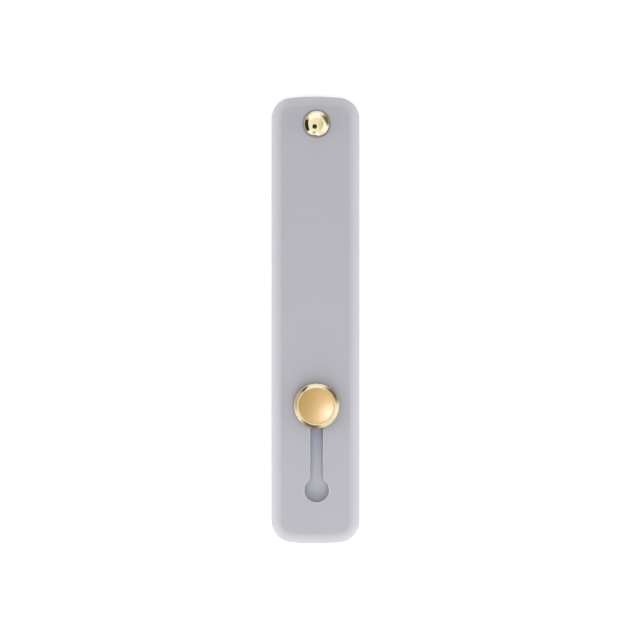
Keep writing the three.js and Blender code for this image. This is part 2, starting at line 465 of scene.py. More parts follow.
# %% Model the base strip
BASE_EDGE = 0.3 * MM
BORE_SPARE = 0.15 * MM
STEM_SPARE = 0.1 * MM
BASE_BACK, BASE_FACE = base_low.z, base_high.z
base = draw_strap_outline("base", 0, BASE_BACK)
raise_rolled(BASE_FACE - BASE_BACK, round_steps(BASE_EDGE, 3))
round_back_edge(BASE_BACK, BASE_EDGE)
rivet_seat = rivet_stem_low.z + RIVET_FLANGE_THICKNESS
button_seat = button_post_low.z + BUTTON_FLANGE_THICKNESS
rivet_flange = (rivet_stem_high.x - rivet_stem_low.x) / 2 + BORE_SPARE
button_flange = (button_post_high.x - button_post_low.x) / 2 + BORE_SPARE
below, above = BASE_BACK - CUT_SPARE, BASE_FACE + CUT_SPARE
cut(base, make_drill(rivet_flange, RIVET_Y, below, rivet_seat))
cut(base, make_drill(STEM_RADIUS + STEM_SPARE, RIVET_Y, below, above))
cut(base, make_drill(button_flange, BUTTON_Y, below, button_seat))
cut(base, make_drill(SLOT_WIDTH / 2, BUTTON_Y, below, above))
finish_shape(base)

# %% [markdown]
# ## The tape and its liner
# A foam tape, set in 1.5 mm from the edge, and the coated paper that covers it until it is stuck down.
# The liner has a small round tab at the lower end to pull it off by. The tab is a flat cylinder, made
# oval by a resize in edit mode and joined to the sheet by a Boolean union.

# %% Model the tape and the liner
TAPE_INSET = 1.5 * MM
TAB_WIDTH = 9 * MM
tape = draw_strap_outline("tape", TAPE_INSET, pad_low.z)
draw_line((0, 0, pad_high.z - pad_low.z))
finish_shape(tape)

liner = draw_strap_outline("liner", TAPE_INSET, liner_low.z)
draw_line((0, 0, liner_high.z - liner_low.z))
tape_end = pad_low.y
tab_reach = tape_end - liner_low.y
clear_selection()
tab_middle = (0, tape_end, (liner_low.z + liner_high.z) / 2)
bpy.ops.mesh.primitive_cylinder_add(
    vertices=64, radius=TAB_WIDTH / 2, depth=liner_high.z - liner_low.z, location=tab_middle
)
tab = bpy.context.object
bpy.ops.object.mode_set(mode="EDIT")
bpy.ops.transform.resize(value=(1, 2 * tab_reach / TAB_WIDTH, 1), center_override=tab_middle)
bpy.ops.object.mode_set(mode="OBJECT")
cut(liner, tab, "UNION")
finish_shape(liner)

# %% [markdown]
# ## The rivet
# A polished dome, 7.2 mm across, on a low upright edge, with the socket for its stem underneath. The
# dome is part of a sphere, whose radius follows from its width and its height.

# %% Model the rivet's dome
RIVET_EDGE = 0.35 * MM
RIVET_FOOT_BREAK = 0.05 * MM
DOME_STEPS = 24
SOCKET_SPARE = 0.05 * MM
SOCKET_FLOOR = 0.1 * MM
dome_rise = rivet_high.z - rivet_low.z - RIVET_EDGE
dome_radius = (rivet_rim**2 + dome_rise**2) / (2 * dome_rise)
dome_centre = rivet_high.z - dome_radius
dome_start = math.degrees(math.acos(rivet_rim / dome_radius))
socket_radius = STEM_RADIUS + SOCKET_SPARE
socket_top = rivet_stem_high.z + SOCKET_FLOOR
rivet_section = [
    (0, socket_top),
    (socket_radius, socket_top),
    (socket_radius, rivet_low.z),
    (rivet_rim - RIVET_FOOT_BREAK, rivet_low.z),
    (rivet_rim, rivet_low.z + RIVET_FOOT_BREAK),
    *arc_points((0, dome_centre), dome_radius, dome_start, 90, DOME_STEPS),
]
rivet = turn_section("rivet", RIVET_Y, rivet_section)
finish_shape(rivet, smooth_angle=50)

# %% [markdown]
# ## The button
# A turned button, 13 mm across and 2.6 mm thick. Its polished rim slopes down ever more steeply, from
# 31 to 46 degrees, and ends in a small round nose: such a slope shows the low surroundings in a ring.
# A fine step parts it from the satin face, which is crowned by a quarter of a millimetre. The rim's
# curve is an arc whose radius follows from its width and its two slopes.

# %% Model the button
BUTTON_FOOT = 0.4 * MM
BUTTON_FACE_RADIUS = 5.45 * MM
RIM_SLOPE_FROM, RIM_SLOPE_TO = 31, 46
RIM_NOSE = 0.35 * MM
FACE_CROWN = 0.25 * MM
STEP_WIDTH = 0.12 * MM
STEP_DROP = 0.06 * MM
button_side = (button_high.x - button_low.x) / 2
button_top = button_high.z - FACE_CROWN
slope_from, slope_to = math.radians(RIM_SLOPE_FROM), math.radians(RIM_SLOPE_TO)
nose_run = RIM_NOSE * (1 - math.sin(slope_to))
rim_width = button_side - BUTTON_FACE_RADIUS
rim_radius = (rim_width - nose_run) / (math.sin(slope_to) - math.sin(slope_from))
rim_centre = (
    BUTTON_FACE_RADIUS - rim_radius * math.sin(slope_from),
    button_top - rim_radius * math.cos(slope_from),
)
rim_end = rim_centre[1] + rim_radius * math.cos(slope_to)
nose_centre = (button_side - RIM_NOSE, rim_end - RIM_NOSE * math.cos(slope_to))
rim_points = [
    *arc_points(nose_centre, RIM_NOSE, 0, 90 - RIM_SLOPE_TO, 5),
    *arc_points(rim_centre, rim_radius, 90 - RIM_SLOPE_TO, 90 - RIM_SLOPE_FROM, 10)[1:],
]
rim_fall = button_top - nose_centre[1]
print(f"rim falls {rim_fall / MM:.2f} mm over {rim_width / MM:.2f} mm")

# %% [markdown]
# The whole section then runs from the socket underneath, round the foot, up the side, over the nose
# and the rim, down the fine step and over the crowned face to the middle.

# %% Turn the button
foot_centre = (button_side - BUTTON_FOOT, button_low.z + BUTTON_FOOT)
face_radius = BUTTON_FACE_RADIUS - STEP_WIDTH
face_points = [
    (radius, button_top + FACE_CROWN * (1 - (radius / face_radius) ** 2))
    for radius in np.linspace(face_radius - STEP_WIDTH, 0, 10)
]
spigot_radius = SPIGOT_RADIUS + SOCKET_SPARE
spigot_top = button_post_high.z + SOCKET_FLOOR
button_section = [
    (0, spigot_top),
    (spigot_radius, spigot_top),
    (spigot_radius, button_low.z),
    *arc_points(foot_centre, BUTTON_FOOT, -90, 0, 5),
    *rim_points,
    (face_radius, button_top - STEP_DROP),
    *face_points,
]
button = turn_section("button", BUTTON_Y, button_section)
finish_shape(button, smooth_angle=30)

# %% [markdown]
# ## How the band bows
# Pushing the lower end up by 24 mm bows the band out. A band doesn't stretch, so its shape is found
# from its length: it leaves the rivet flat, rises, comes down again and lies flat under the button,
# which a slope that swings as one sine wave gives. The swing is set so that the slope's mean cosine is
# the share of the band's length that is left between rivet and button.

# %% Find the curve of the bow
BOW_SPARE = 1 * MM
BOW_STEPS = 720
HALVINGS = 40
BOW_TOP = RIVET_Y - rivet_rim - BOW_SPARE
BOW_FLAT = BUTTON_Y + button_side + BOW_SPARE
bow_length = BOW_TOP - (BOW_FLAT - TRAVEL)
chord_share = (BOW_TOP - BOW_FLAT) / bow_length
wave = np.sin(np.linspace(0, 2 * math.pi, BOW_STEPS + 1))
low_swing, high_swing = 0.0, math.pi / 2
for halving in range(HALVINGS):
    swing = (low_swing + high_swing) / 2
    if np.cos(swing * wave[:-1]).mean() > chord_share:
        low_swing = swing
    else:
        high_swing = swing
step_length = bow_length / BOW_STEPS
slope = swing * wave
mean_slope = (slope[:-1] + slope[1:]) / 2
curve_run = np.concatenate([[0], np.cumsum(np.cos(mean_slope))]) * step_length
curve_rise = np.concatenate([[0], np.cumsum(np.sin(mean_slope))]) * step_length
print(f"loop {curve_rise.max() / MM:.1f} mm high, steepest slope {math.degrees(swing):.0f} degrees")

# %% [markdown]
# Every point of the band is laid along that curve at its own distance from the rivet, and off its
# middle by as much as it is at rest. What it moves by is stored as the attribute "bow".

# %% Store the bow on the band
place = np.array([v.co for v in band.data.vertices], float)
along = np.clip(BOW_TOP - place[:, 1], 0, bow_length)
middle = (BAND_BACK + BAND_FACE) / 2
off_middle = place[:, 2] - middle
samples = np.linspace(0, bow_length, BOW_STEPS + 1)
lean = np.interp(along, samples, slope)
beyond = np.maximum(0, BOW_TOP - bow_length - place[:, 1])
before = np.maximum(0, place[:, 1] - BOW_TOP)
run = np.interp(along, samples, curve_run)
rise = np.interp(along, samples, curve_rise)
bowed_y = BOW_TOP + before - beyond - run + off_middle * np.sin(lean)
bowed_z = middle + rise + off_middle * np.cos(lean)
blend_share = along / bow_length
blend_share = blend_share**2 * (3 - 2 * blend_share)
bow = np.zeros_like(place)
bow[:, 1] = bowed_y - (place[:, 1] + TRAVEL * blend_share)
bow[:, 2] = bowed_z - place[:, 2]


def store(piece, name, kind, field, values):
    attribute = piece.data.attributes.new(name, kind, "POINT")
    attribute.data.foreach_set(field, values.astype(np.float32).ravel())


store(band, "bow", "FLOAT_VECTOR", "vector", bow)
store(band, "rest_place", "FLOAT_VECTOR", "vector", place)

# %% [markdown]
# The band's rolled edge gets a painted lighter rim. It stands in for the light that grazes the edge and
# shines through its thinning silicone, so the finish needs to know how far a point has fallen below the
# flat face. That share is stored on the band as its painted rim light. The nose, the holes and the dip
# stay at zero.

# %% Store the share of the painted rim light
DIP_REACH = 2 * MM
off_line = place[:, 0] - LINE_X
slot_low, slot_high = EYE_Y - EYE_RADIUS - RIM_ROUND, BUTTON_Y + SLOT_WIDTH
near_hole = (np.abs(off_line) < EYE_RADIUS + RIM_ROUND) & (place[:, 1] < slot_high)
near_hole &= place[:, 1] > slot_low
near_hole |= np.hypot(off_line, place[:, 1] - RIVET_Y) < rivet_rim + DIP_REACH
fallen = np.sqrt(np.clip((BAND_FACE - place[:, 2]) / ROLL_DROP, 0, 1))
on_roll = (fallen > 0.01) & (fallen < 1) & ~near_hole
painted_rim_light = np.where(on_roll, 0.5 + 0.5 * fallen, 0)
store(band, "painted_rim_light", "FLOAT", "value", painted_rim_light)
print("points on the rolled edge:", int(on_roll.sum()))

# %% [markdown]
# ## Floor, light and camera
# The photo looks straight down on the strap. In it the strap's middle lies 4.5 pixels left of the
# image's, and 640 pixels span 182.6 mm where the strap is widest. The lens follows from that span and
# from the camera's height, which is a guess: from higher up the picture would look flatter.

# %% Set the camera
PHOTO_PIXELS = 640
PIXELS_PER_MM = 3.505
STRAP_CENTRE_PIXEL = (315.45, 320.05)
CAMERA_HEIGHT = 0.65
bpy.ops.object.camera_add()
camera = bpy.context.object
camera.name = "camera"
camera_x = (PHOTO_PIXELS / 2 - STRAP_CENTRE_PIXEL[0]) / PIXELS_PER_MM * MM
camera_y = (STRAP_CENTRE_PIXEL[1] - PHOTO_PIXELS / 2) / PIXELS_PER_MM * MM
widest_height = BAND_FACE - roll_drop
camera.location = (camera_x, camera_y, CAMERA_HEIGHT)
camera.rotation_euler = (0, 0, 0)
field = PHOTO_PIXELS / PIXELS_PER_MM * MM
camera.data.lens = camera.data.sensor_width * (CAMERA_HEIGHT - widest_height) / field
camera.data.clip_start = 0.01
bpy.context.scene.camera = camera
print(f"camera {CAMERA_HEIGHT} m up, lens {camera.data.lens:.1f} mm")

# %% [markdown]
# The strap lies on a plain white ground. It is one wide sheet, so that its edge is never seen, and it
# throws no light back on the strap: the boxes and the tent alone set how bright the silicone is.

# %% Lay the floor
clear_selection()
bpy.ops.mesh.primitive_plane_add(size=6, location=(0, 0, 0))
floor = bpy.context.object
floor.name = "floor"
floor.visible_diffuse = False

# %% [markdown]
# ## Soft boxes
# Silicone this pale shows its shape only by light that grazes it. Four long, very low strips, one at
# each side and one at each end, brighten the rolled edges and hardly touch the flat face. Three boxes
# above and a pale studio light the rest. Places are given as a turn counted from the right, a rise
# above the floor, and a distance, all seen from the middle of the strap.

# %% Hang the lights
def place_round(turn, rise, distance, target=(0, 0, 0)):
    turn, rise = math.radians(turn), math.radians(rise)
    level = distance * math.cos(rise)
    away = Vector((level * math.cos(turn), level * math.sin(turn), distance * math.sin(rise)))
    return Vector(target) + away


def aim(thing, target=(0, 0, 0)):
    reach = Vector(target) - thing.location
    thing.rotation_euler = reach.to_track_quat("-Z", "Y").to_euler()


def hang_box(name, turn, rise, distance, size, brightness, colour=(1, 1, 1)):
    bpy.ops.object.light_add(type="AREA", location=place_round(turn, rise, distance))
    box = bpy.context.object
    box.name = name
    box.data.shape = "RECTANGLE"
    box.data.size, box.data.size_y = size
    box.data.energy = brightness * math.pi * size[0] * size[1]
    box.data.color = colour
    box.visible_camera = False
    box.visible_glossy = False
    aim(box)


hang_box("left_strip", 184, 9, 0.65, (0.8, 0.14), 11)
hang_box("right_strip", -4, 9, 0.65, (0.8, 0.14), 10)
hang_box("lower_strip", -90, 9, 0.70, (0.5, 0.14), 7.6)
hang_box("upper_strip", 90, 9, 0.70, (0.5, 0.14), 7)
hang_box("lower_box", -90, 30, 0.42, (0.35, 0.2), 2.8)
hang_box("upper_left_box", 125, 50, 0.9, (1.1, 0.8), 0.6, (0.97, 0.985, 1))
hang_box("lower_right_box", -45, 65, 1.0, (0.8, 0.8), 1.0)

# %% [markdown]
# The studio round the strap is a plain white tent. The tent is dimmer for the light that it gives than
# for what is seen of it, in the metal and behind the floor, so that the boxes and strips keep their say.

# %% Make the pale studio
TENT_SEEN = 1.0
TENT_LIGHT = 0.322
world = bpy.data.worlds.new("studio")
bpy.context.scene.world = world
world.use_nodes = True
tent = world.node_tree.nodes["Background"]
tent.inputs["Color"].default_value = (0.985, 0.99, 1, 1)
ray = world.node_tree.nodes.new("ShaderNodeLightPath")
level = world.node_tree.nodes.new("ShaderNodeMapRange")
level.inputs["To Min"].default_value = TENT_SEEN
level.inputs["To Max"].default_value = TENT_LIGHT
world.node_tree.links.new(ray.outputs["Is Diffuse Ray"], level.inputs["Value"])
world.node_tree.links.new(level.outputs["Result"], tent.inputs["Strength"])
bpy.context.scene.view_settings.view_transform = "Standard"
bpy.context.scene.view_settings.look = "None"

# %% [markdown]
# ## Cards
# Polished metal has no look of its own, it shows what stands round it. A photographer shapes it with
# cards, and so does this scene. A card is a flat sheet, oblong or round, that faces its target. Only
# reflections show it: it throws no light and no shadow on the strap.

# %% Helper that stands a card
def stand_card(name, turn, rise, distance, size, target, material):
    clear_selection()
    place = place_round(turn, rise, distance, target)
    bpy.ops.mesh.primitive_circle_add(
        vertices=4 if size[1] else 32, radius=0.5, fill_type="NGON", location=place
    )
    card = bpy.context.object
    card.name = name
    if size[1]:
        bpy.ops.object.mode_set(mode="EDIT")
        bpy.ops.transform.rotate(value=math.pi / 4, orient_axis="Z", center_override=place)
        bpy.ops.object.mode_set(mode="OBJECT")
        card.scale = (size[0] * math.sqrt(2), size[1] * math.sqrt(2), 1)
    else:
        card.scale = (size[0], size[0], 1)
    aim(card, target)
    card.data.materials.append(material)
    card.visible_camera = False
    card.visible_diffuse = False
    card.visible_shadow = False
    card.visible_transmission = False

# %% [markdown]
# A card has to look the same whatever light falls on it, so its colour is a glow on a nearly black
# sheet. Some cards fade towards the tent's brightness at their ends, so that the dark wedge that the
# metal shows has soft ends. A mix of two colours makes the fade, driven by the distance from the
# sheet's middle.

# %% Helpers for mixes, and the cards' finishes
def mix_colours(nodes, links, factor, start, end):
    """Mixes two colours, each of them a fixed one or the output of another node."""
    mix = nodes.new("ShaderNodeMix")
    mix.data_type = "RGBA"
    links.new(factor, mix.inputs["Factor"])
    for colour, socket in ((start, mix.inputs[6]), (end, mix.inputs[7])):
        if isinstance(colour, tuple):
            socket.default_value = colour
        else:
            links.new(colour, socket)
    return mix.outputs[2]


def smooth_share(nodes, links, value, start, end):
    """Goes smoothly from 0 to 1 while the value goes from start to end."""
    share = nodes.new("ShaderNodeMapRange")
    share.interpolation_type = "SMOOTHSTEP"
    share.inputs["From Min"].default_value = start
    share.inputs["From Max"].default_value = end
    links.new(value, share.inputs["Value"])
    return share.outputs["Result"]


def make_card(name, colour, glow):
    material = bpy.data.materials.new(name)
    material.use_nodes = True
    shader = material.node_tree.nodes["Principled BSDF"]
    shader.inputs["Base Color"].default_value = (0.01, 0.01, 0.01, 1)
    shader.inputs["Roughness"].default_value = 0.9
    shader.inputs["Emission Color"].default_value = colour
    shader.inputs["Emission Strength"].default_value = glow
    return material


def fade_glow(material, measure, near, far, near_colour, far_colour):
    """Lets a glow change smoothly with a distance from the middle of the sheet, in its own axes."""
    nodes, links = material.node_tree.nodes, material.node_tree.links
    shader = nodes["Principled BSDF"]
    place = nodes.new("ShaderNodeTexCoord")
    stretch = nodes.new("ShaderNodeVectorMath")
    stretch.operation = "MULTIPLY"
    stretch.inputs[1].default_value = measure
    links.new(place.outputs["Object"], stretch.inputs[0])
    reach = nodes.new("ShaderNodeVectorMath")
    reach.operation = "LENGTH"
    links.new(stretch.outputs["Vector"], reach.inputs[0])
    fade = smooth_share(nodes, links, reach.outputs["Value"], near, far)
    blend = mix_colours(nodes, links, fade, near_colour, far_colour)
    links.new(blend, shader.inputs["Emission Color"])
    shader.inputs["Emission Strength"].default_value = 1.0


def make_faded_card(name, middle_colour):
    """A card that is dark in its middle and fades to the tent's brightness at its two ends."""
    material = make_card(name, middle_colour, 1.0)
    fade_glow(material, (1, 0, 0), 0.1, 0.35, middle_colour, (1, 1, 1, 1))
    return material


card_black = make_card("card_black", (1, 0.8, 0.5, 1), 0.0)
card_grey = make_card("card_grey", (1, 0.95, 0.8, 1), 0.45)
card_pale = make_card("card_pale", (1, 0.945, 0.86, 1), 0.93)
card_warm = make_card("card_warm", (1, 0.92, 0.72, 1), 0.8)
card_brown = make_card("card_brown", (1, 0.85, 0.65, 1), 0.25)
card_dark_wedge = make_faded_card("card_dark_wedge", (0.15, 0.13, 0.08, 1))
card_brown_wedge = make_faded_card("card_brown_wedge", (0.55, 0.48, 0.38, 1))
card_cool = make_card("card_cool", (0.86, 0.9, 1, 1), 1.28)
card_bright = make_card("card_bright", (0.84, 0.87, 1, 1), 8.5)

# %% [markdown]
# Each card belongs to one mark on the metal, so its place is seen from the rivet or from the button,
# and all of them stand clear of the strap. On the rivet the black ones give the dark bar at the left
# and the dark dot, the cool ones the white sides, and the pale, grey and warm ones the cream middle
# and the olive patch. On the button two dark wedges and a brown side shade the rim, and two small
# cards give the face its shade at the upper left and its glow at the lower right.

# %% Stand the cards
rivet_spot = (LINE_X, RIVET_Y, rivet_high.z)
button_spot = (LINE_X, BUTTON_Y, button_high.z)
stand_card("left_card", 185, 24.5, 0.055, (0.062, 0.0245), rivet_spot, card_black)
stand_card("round_card", -129, 70.6, 0.314, (0.16, 0), rivet_spot, card_black)
stand_card("cool_right_card", -20, 28, 0.5, (0.45, 0.36), rivet_spot, card_cool)
stand_card("cool_lower_card", -105, 22, 0.5, (0.5, 0.25), rivet_spot, card_cool)
stand_card("cool_upper_card", 105, 36, 0.5, (0.6, 0.3), rivet_spot, card_cool)
stand_card("overhead_card", 90, 80, 0.6, (0.5, 0.5), rivet_spot, card_pale)
stand_card("line_card", 0, 55, 0.5, (0.30, 0.045), rivet_spot, card_grey)
stand_card("warm_card", 0, 65, 0.6, (0.8, 0.24), rivet_spot, card_warm)
stand_card("olive_card", 38, 27, 0.45, (0.36, 0.16), rivet_spot, card_grey)
stand_card("button_right_card", 35, 14, 0.4, (0.60, 0.24), button_spot, card_dark_wedge)
stand_card("button_lower_card", -106, 14, 0.12, (0.17, 0.072), button_spot, card_dark_wedge)
stand_card("button_left_card", 155, 14, 0.6, (1.4, 0.36), button_spot, card_brown_wedge)
stand_card("shade_card", 150, 62, 0.05, (0.030, 0.026), button_spot, card_brown)
stand_card("glow_card", -38, 74, 0.05, (0.013, 0.013), button_spot, card_bright)

# %% [markdown]
# ## Shared effects
# Two effects are used by more than one finish, so each is a node group. "Fine grain" is a small, even
# noise that gives a value to vary the roughness and a bumped normal. Bumping is enough: the grain is
# far too fine to change an outline.

# %% Node group for fine grain
def new_group(name, inputs, outputs):
    group = bpy.data.node_groups.new(name, "ShaderNodeTree")
    for title, kind, value in inputs:
        socket = group.interface.new_socket(title, in_out="INPUT", socket_type=kind)
        if value is not None:
            socket.default_value = value
    for title, kind in outputs:
        group.interface.new_socket(title, in_out="OUTPUT", socket_type=kind)
    return group, group.nodes.new("NodeGroupInput"), group.nodes.new("NodeGroupOutput")


grain_group, source, result = new_group(
    "fine_grain",
    [
        ("Place", "NodeSocketVector", None),
        ("Scale", "NodeSocketFloat", 4000.0),
        ("Height", "NodeSocketFloat", 0.02),
        ("Low", "NodeSocketFloat", 0.4),
        ("High", "NodeSocketFloat", 0.6),
    ],
    [("Value", "NodeSocketFloat"), ("Normal", "NodeSocketVector")],
)
nodes, links = grain_group.nodes, grain_group.links
noise = nodes.new("ShaderNodeTexNoise")
noise.inputs["Detail"].default_value = 3
links.new(source.outputs["Place"], noise.inputs["Vector"])
links.new(source.outputs["Scale"], noise.inputs["Scale"])
spread = nodes.new("ShaderNodeMapRange")
links.new(noise.outputs["Fac"], spread.inputs["Value"])
links.new(source.outputs["Low"], spread.inputs["To Min"])
links.new(source.outputs["High"], spread.inputs["To Max"])
links.new(spread.outputs["Result"], result.inputs["Value"])
bump = nodes.new("ShaderNodeBump")
bump.inputs["Strength"].default_value = 0.5
links.new(source.outputs["Height"], bump.inputs["Distance"])
links.new(noise.outputs["Fac"], bump.inputs["Height"])
links.new(bump.outputs["Normal"], result.inputs["Normal"])

# %% [markdown]
# "Soft mottle" is a slow, wide change between two close colours, such as moulded silicone, foam and
# plating show. Without it a large plain face looks like paint on a screen.

# %% Node group for soft mottle
mottle_group, source, result = new_group(
    "soft_mottle",
    [
        ("Place", "NodeSocketVector", None),
        ("Scale", "NodeSocketFloat", 60.0),
        ("Light", "NodeSocketColor", (1, 1, 1, 1)),
        ("Dark", "NodeSocketColor", (0.9, 0.9, 0.9, 1)),
    ],
    [("Color", "NodeSocketColor")],
)
nodes, links = mottle_group.nodes, mottle_group.links
noise = nodes.new("ShaderNodeTexNoise")
noise.inputs["Detail"].default_value = 2
links.new(source.outputs["Place"], noise.inputs["Vector"])
links.new(source.outputs["Scale"], noise.inputs["Scale"])
light, dark = source.outputs["Light"], source.outputs["Dark"]
mix = mix_colours(nodes, links, noise.outputs["Fac"], light, dark)
links.new(mix, result.inputs["Color"])

# %% [markdown]
# ## Silicone
# Moulded silicone is matt with a fine even grain, a little translucent, and a faintly violet grey. The
# grain has to follow the band when it bends, so the band's grain reads the place that each point has
# at rest, which was stored with the bow. The other finishes read the place in the piece's own axes.

# %% Helpers for finishes
def new_material(name):
    material = bpy.data.materials.new(name)
    material.use_nodes = True
    tree = material.node_tree
    return material, tree.nodes, tree.links, tree.nodes["Principled BSDF"]


def place_by_object(nodes):
    return nodes.new("ShaderNodeTexCoord").outputs["Object"]


def place_by_attribute(nodes, name):
    reader = nodes.new("ShaderNodeAttribute")
    reader.attribute_name = name
    return reader.outputs["Vector"]


def use_group(nodes, links, group, place, **values):
    node = nodes.new("ShaderNodeGroup")
    node.node_tree = group
    links.new(place, node.inputs["Place"])
    for title, value in values.items():
        node.inputs[title].default_value = value
    return node


def grain_shader(nodes, links, shader, place, **values):
    """Lets fine grain set the roughness and the bumped normal."""
    grain = use_group(nodes, links, grain_group, place, **values)
    links.new(grain.outputs["Value"], shader.inputs["Roughness"])
    links.new(grain.outputs["Normal"], shader.inputs["Normal"])


def change_along(nodes, links, place, axis, start, end, colour, end_colour):
    """Changes a colour smoothly into another between two places along one axis."""
    split = nodes.new("ShaderNodeSeparateXYZ")
    links.new(place, split.inputs["Vector"])
    share = smooth_share(nodes, links, split.outputs[axis], start, end)
    return mix_colours(nodes, links, share, colour, end_colour)


# %% [markdown]
# Both silicones share one recipe. The band's thinning edge gets a painted lighter rim: painted light for
# the light that grazes it and shines through it. The base strip shows through the slot. It is painted
# darker and bluer from the eye towards the button, a painted shade of the button and the slot's walls,
# and returns to its plain colour above the button. Its plain colour is set lighter than the band's:
# painted light for the light that the translucent walls let onto the slot's floor.

# %% Make the two silicones
def make_silicone(name, light, dark, follows=None, rim_light_attribute=None, rim_light_colour=None, painted_slot_shade=None):
    material, nodes, links, shader = new_material(name)
    place = place_by_attribute(nodes, follows) if follows else place_by_object(nodes)
    mottle = use_group(nodes, links, mottle_group, place, Scale=45.0, Light=light, Dark=dark)
    plain = mottle.outputs["Color"]
    links.new(plain, shader.inputs["Base Color"])
    # Painted rim light: the thinning edge is painted lighter, standing in for the light that grazes it
    # and shines through it.
    if rim_light_attribute:
        reader = nodes.new("ShaderNodeAttribute")
        reader.attribute_name = rim_light_attribute
        lit_rim_colour = mix_colours(nodes, links, reader.outputs["Fac"], plain, rim_light_colour)
        links.new(lit_rim_colour, shader.inputs["Base Color"])
    # Painted shade: darker and bluer from the eye towards the button, where the button and the slot's
    # walls shade the floor, and plain again above the button.
    if painted_slot_shade:
        darker = change_along(nodes, links, place, "Y", EYE_Y, BUTTON_Y, plain, painted_slot_shade)
        fade_from, fade_to = BUTTON_Y + SLOT_WIDTH, BUTTON_Y + 4 * SLOT_WIDTH
        plain_again = change_along(nodes, links, place, "Y", fade_from, fade_to, darker, plain)
        links.new(plain_again, shader.inputs["Base Color"])
    grain_shader(
        nodes, links, shader, place, Scale=3500.0, Height=0.00002, Low=0.5, High=0.62
    )
    shader.inputs["Subsurface Weight"].default_value = 0.25
    shader.inputs["Subsurface Radius"].default_value = (1.0, 0.95, 0.95)
    shader.inputs["Subsurface Scale"].default_value = 0.0012
    shader.inputs["IOR"].default_value = 1.41
    return material


band_silicone = make_silicone(
    "band_silicone",
    (0.47, 0.463, 0.5, 1),
    (0.455, 0.449, 0.486, 1),
    follows="rest_place",
    rim_light_attribute="painted_rim_light",
    rim_light_colour=(0.525, 0.518, 0.545, 1),
)
# Its plain colours are lighter than the band's: painted light for the light that reaches the slot's
# floor through the translucent walls.
base_silicone = make_silicone(
    "base_silicone",
    (0.565, 0.58, 0.61, 1),
    (0.545, 0.56, 0.59, 1),
    painted_slot_shade=(0.385, 0.398, 0.485, 1),
)

# %% [markdown]
# ## Gold plating
# Plating is one colour whose tone drifts by a few hundredths. The dome and the button's rim are
# polished: almost a mirror, with a faint haze. The rim's lower edge is painted darker by height: a
# painted reflection of the shaded band close under the button.

# %% Make the polished gold
def plate(nodes, links, shader, place, colour):
    """Plating of one colour, whose tone drifts by a few hundredths."""
    darker = [0.95 * part for part in colour[:3]] + [1]
    tone = use_group(nodes, links, mottle_group, place, Scale=250.0, Light=colour, Dark=darker)
    links.new(tone.outputs["Color"], shader.inputs["Base Color"])
    shader.inputs["Metallic"].default_value = 1.0
    return tone.outputs["Color"]


def make_polished(name, colour, low=0.05, high=0.12, painted_foot_shade=None):
    material, nodes, links, shader = new_material(name)
    place = place_by_object(nodes)
    tone = plate(nodes, links, shader, place, colour)
    # Painted reflection: the rim's foot is darkened by height, as if it mirrored the shaded band close
    # under the button.
    if painted_foot_shade:
        start, end, foot_shade_colour = painted_foot_shade
        with_painted_foot = change_along(nodes, links, place, "Z", start, end, tone, foot_shade_colour)
        links.new(with_painted_foot, shader.inputs["Base Color"])
    grain_shader(
        nodes, links, shader, place, Scale=900.0, Height=0.000004, Low=low, High=high
    )
    return material


polished_gold = make_polished("polished_gold", (0.93, 0.83, 0.56, 1))
# The button's rim, whose foot gets the painted dark reflection of the shade under it.
rim_gold = make_polished(
    "rim_gold",
    (0.86, 0.74, 0.50, 1),
    low=0.12,
    high=0.2,
    painted_foot_shade=(button_top - 0.62 * MM, button_top - 0.86 * MM, (0.3, 0.22, 0.12, 1)),
)
post_metal = make_polished("post_metal", (0.60, 0.48, 0.26, 1))

# %% [markdown]
# The button's face is satin, turned in fine rings, so its highlight is broad and soft. Rings can be cut
# as real grooves, but they are too fine for that, so a wave bump stands in for them. A clear coat over
# the satin adds a second, tighter sheen.

# %% Make the satin gold
def make_satin(name, colour, centre):
    material, nodes, links, shader = new_material(name)
    place = place_by_object(nodes)
    plate(nodes, links, shader, place, colour)
    centred = nodes.new("ShaderNodeMapping")
    centred.inputs["Location"].default_value = [-c for c in centre]
    links.new(place, centred.inputs["Vector"])
    rings = nodes.new("ShaderNodeTexWave")
    rings.wave_type = "RINGS"
    rings.rings_direction = "Z"
    rings.inputs["Scale"].default_value = 3200.0
    rings.inputs["Distortion"].default_value = 0.6
    rings.inputs["Detail"].default_value = 2.0
    links.new(centred.outputs["Vector"], rings.inputs["Vector"])
    ring_bump = nodes.new("ShaderNodeBump")
    ring_bump.inputs["Strength"].default_value = 0.2
    ring_bump.inputs["Distance"].default_value = 0.000003
    links.new(rings.outputs["Fac"], ring_bump.inputs["Height"])
    links.new(ring_bump.outputs["Normal"], shader.inputs["Normal"])
    grain = use_group(
        nodes, links, grain_group, place, Scale=2500.0, Height=0.000004, Low=0.45, High=0.55
    )
    links.new(grain.outputs["Value"], shader.inputs["Roughness"])
    shader.inputs["Coat Weight"].default_value = 1.0
    shader.inputs["Coat Roughness"].default_value = 0.25
    shader.inputs["Coat IOR"].default_value = 1.9
    return material


satin_gold = make_satin("satin_gold", (0.70, 0.462, 0.158, 1), (LINE_X, BUTTON_Y, 0))

# %% [markdown]
# ## Tape, liner and floor
# The tape is a white foam with open cells at its edge, the liner a smooth coated paper. The floor is
# white and glows a little more with the distance from the strap, which keeps the ground even where
# the boxes reach it less.

# %% Make the tape, the liner and the floor
def make_plain(name, light, dark, mottle_scale, **grain_values):
    material, nodes, links, shader = new_material(name)
    place = place_by_object(nodes)
    mottle = use_group(
        nodes, links, mottle_group, place, Scale=mottle_scale, Light=light, Dark=dark
    )
    links.new(mottle.outputs["Color"], shader.inputs["Base Color"])
    grain_shader(nodes, links, shader, place, **grain_values)
    return material


